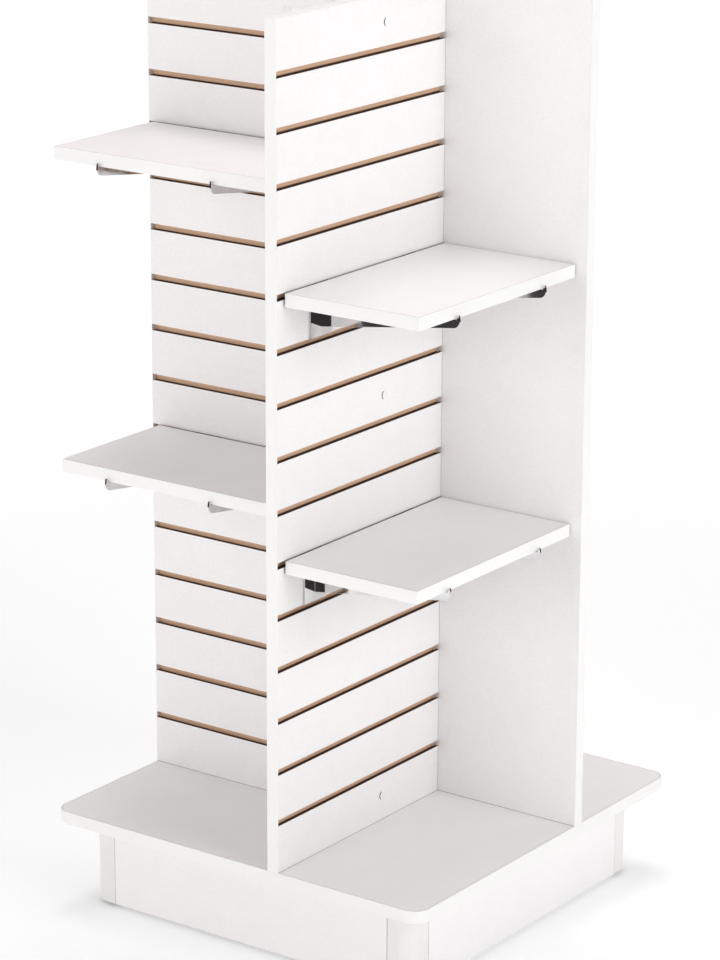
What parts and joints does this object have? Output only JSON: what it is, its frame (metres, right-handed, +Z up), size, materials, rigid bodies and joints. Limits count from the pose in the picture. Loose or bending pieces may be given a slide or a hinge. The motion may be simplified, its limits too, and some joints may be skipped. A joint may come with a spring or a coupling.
{
  "type": "slatwall merchandiser tower",
  "caption": "Free-standing pinwheel slatwall display tower, white panels with bare grooves on a square deck and recessed base, with shelves on chrome knife brackets.",
  "frame": {"origin": "on the floor under the centre of the square deck", "axes": "+Z up; the grooved panels face -Y (front), +X (right), +Y (back) and -X (left)"},
  "size_m": [0.6604, 0.6604, 1.3716],
  "materials": {
    "white_laminate": "satin white melamine on fibreboard",
    "white_band": "satin white edge band",
    "white_moulding": "satin white extruded plastic",
    "cap_plastic": "gloss white",
    "chrome": "bright chrome plate",
    "zinc": "zinc plated",
    "timber": "planed softwood",
    "nylon": "matte black nylon"
  },
  "bodies": {
    "tower": {"slat_panel_front": "white_laminate", "panel_end_band_front": "white_band", "panel_top_band_front": "white_band", "kick_board_front": "white_laminate", "slat_panel_right": "white_laminate", "panel_end_band_right": "white_band", "panel_top_band_right": "white_band", "kick_board_right": "white_laminate", "slat_panel_back": "white_laminate", "panel_end_band_back": "white_band", "panel_top_band_back": "white_band", "kick_board_back": "white_laminate", "slat_panel_left": "white_laminate", "panel_end_band_left": "white_band", "panel_top_band_left": "white_band", "kick_board_left": "white_laminate", "corner_post_front_right": "white_moulding", "corner_block_front_right": "timber", "corner_post_back_right": "white_moulding", "corner_block_back_right": "timber", "corner_post_back_left": "white_moulding", "corner_block_back_left": "timber", "corner_post_front_left": "white_moulding", "corner_block_front_left": "timber", "connector_screws": "zinc", "deck_screws": "zinc", "block_screws": "zinc", "base_angles": "zinc", "angle_screws": "zinc", "tee_nuts": "zinc", "screw_caps": "cap_plastic", "deck_board": "white_laminate", "deck_edge_band": "white_band"},
    "bracket_front_upper_outer": {"bracket_front_upper_outer": "chrome"},
    "bracket_front_upper_inner": {"bracket_front_upper_inner": "chrome"},
    "shelf_front_upper": {"shelf_front_upper": "white_laminate", "shelf_band_front_upper": "white_band"},
    "bracket_front_lower_outer": {"bracket_front_lower_outer": "chrome"},
    "bracket_front_lower_inner": {"bracket_front_lower_inner": "chrome"},
    "shelf_front_lower": {"shelf_front_lower": "white_laminate", "shelf_band_front_lower": "white_band"},
    "bracket_right_upper_outer": {"bracket_right_upper_outer": "chrome"},
    "bracket_right_upper_inner": {"bracket_right_upper_inner": "chrome"},
    "shelf_right_upper": {"shelf_right_upper": "white_laminate", "shelf_band_right_upper": "white_band"},
    "bracket_right_lower_outer": {"bracket_right_lower_outer": "chrome"},
    "bracket_right_lower_inner": {"bracket_right_lower_inner": "chrome"},
    "shelf_right_lower": {"shelf_right_lower": "white_laminate", "shelf_band_right_lower": "white_band"},
    "glide_front_right": {"glide_pad_front_right": "nylon", "glide_stem_front_right": "zinc"},
    "glide_back_right": {"glide_pad_back_right": "nylon", "glide_stem_back_right": "zinc"},
    "glide_back_left": {"glide_pad_back_left": "nylon", "glide_stem_back_left": "zinc"},
    "glide_front_left": {"glide_pad_front_left": "nylon", "glide_stem_front_left": "zinc"}
  },
  "joints": [
    {"name": "bracket_front_upper_outer_slide", "type": "slide", "parent": "tower", "child": "bracket_front_upper_outer", "axis": [-1, 0, 0], "range_m": [-0.0741, 0.0687]},
    {"name": "bracket_front_upper_inner_slide", "type": "slide", "parent": "tower", "child": "bracket_front_upper_inner", "axis": [-1, 0, 0], "range_m": [-0.0761, 0.0741]},
    {"name": "shelf_front_upper_lift", "type": "slide", "parent": "tower", "child": "shelf_front_upper", "axis": [0, 0, 1], "range_m": [0, 0.06]},
    {"name": "bracket_front_lower_outer_slide", "type": "slide", "parent": "tower", "child": "bracket_front_lower_outer", "axis": [-1, 0, 0], "range_m": [-0.0671, 0.0747]},
    {"name": "bracket_front_lower_inner_slide", "type": "slide", "parent": "tower", "child": "bracket_front_lower_inner", "axis": [-1, 0, 0], "range_m": [-0.0841, 0.0671]},
    {"name": "shelf_front_lower_lift", "type": "slide", "parent": "tower", "child": "shelf_front_lower", "axis": [0, 0, 1], "range_m": [0, 0.06]},
    {"name": "bracket_right_upper_outer_slide", "type": "slide", "parent": "tower", "child": "bracket_right_upper_outer", "axis": [0, -1, 0], "range_m": [-0.0796, 0.0727]},
    {"name": "bracket_right_upper_inner_slide", "type": "slide", "parent": "tower", "child": "bracket_right_upper_inner", "axis": [0, -1, 0], "range_m": [-0.0611, 0.0796]},
    {"name": "shelf_right_upper_lift", "type": "slide", "parent": "tower", "child": "shelf_right_upper", "axis": [0, 0, 1], "range_m": [0, 0.06]},
    {"name": "bracket_right_lower_outer_slide", "type": "slide", "parent": "tower", "child": "bracket_right_lower_outer", "axis": [0, -1, 0], "range_m": [-0.0861, 0.0587]},
    {"name": "bracket_right_lower_inner_slide", "type": "slide", "parent": "tower", "child": "bracket_right_lower_inner", "axis": [0, -1, 0], "range_m": [-0.0621, 0.0861]},
    {"name": "shelf_right_lower_lift", "type": "slide", "parent": "tower", "child": "shelf_right_lower", "axis": [0, 0, 1], "range_m": [0, 0.06]},
    {"name": "glide_front_right_screw_out", "type": "slide", "parent": "tower", "child": "glide_front_right", "axis": [0, 0, -1], "range_m": [0, 0.012]},
    {"name": "glide_back_right_screw_out", "type": "slide", "parent": "tower", "child": "glide_back_right", "axis": [0, 0, -1], "range_m": [0, 0.012]},
    {"name": "glide_back_left_screw_out", "type": "slide", "parent": "tower", "child": "glide_back_left", "axis": [0, 0, -1], "range_m": [0, 0.012]},
    {"name": "glide_front_left_screw_out", "type": "slide", "parent": "tower", "child": "glide_front_left", "axis": [0, 0, -1], "range_m": [0, 0.012]}
  ]
}
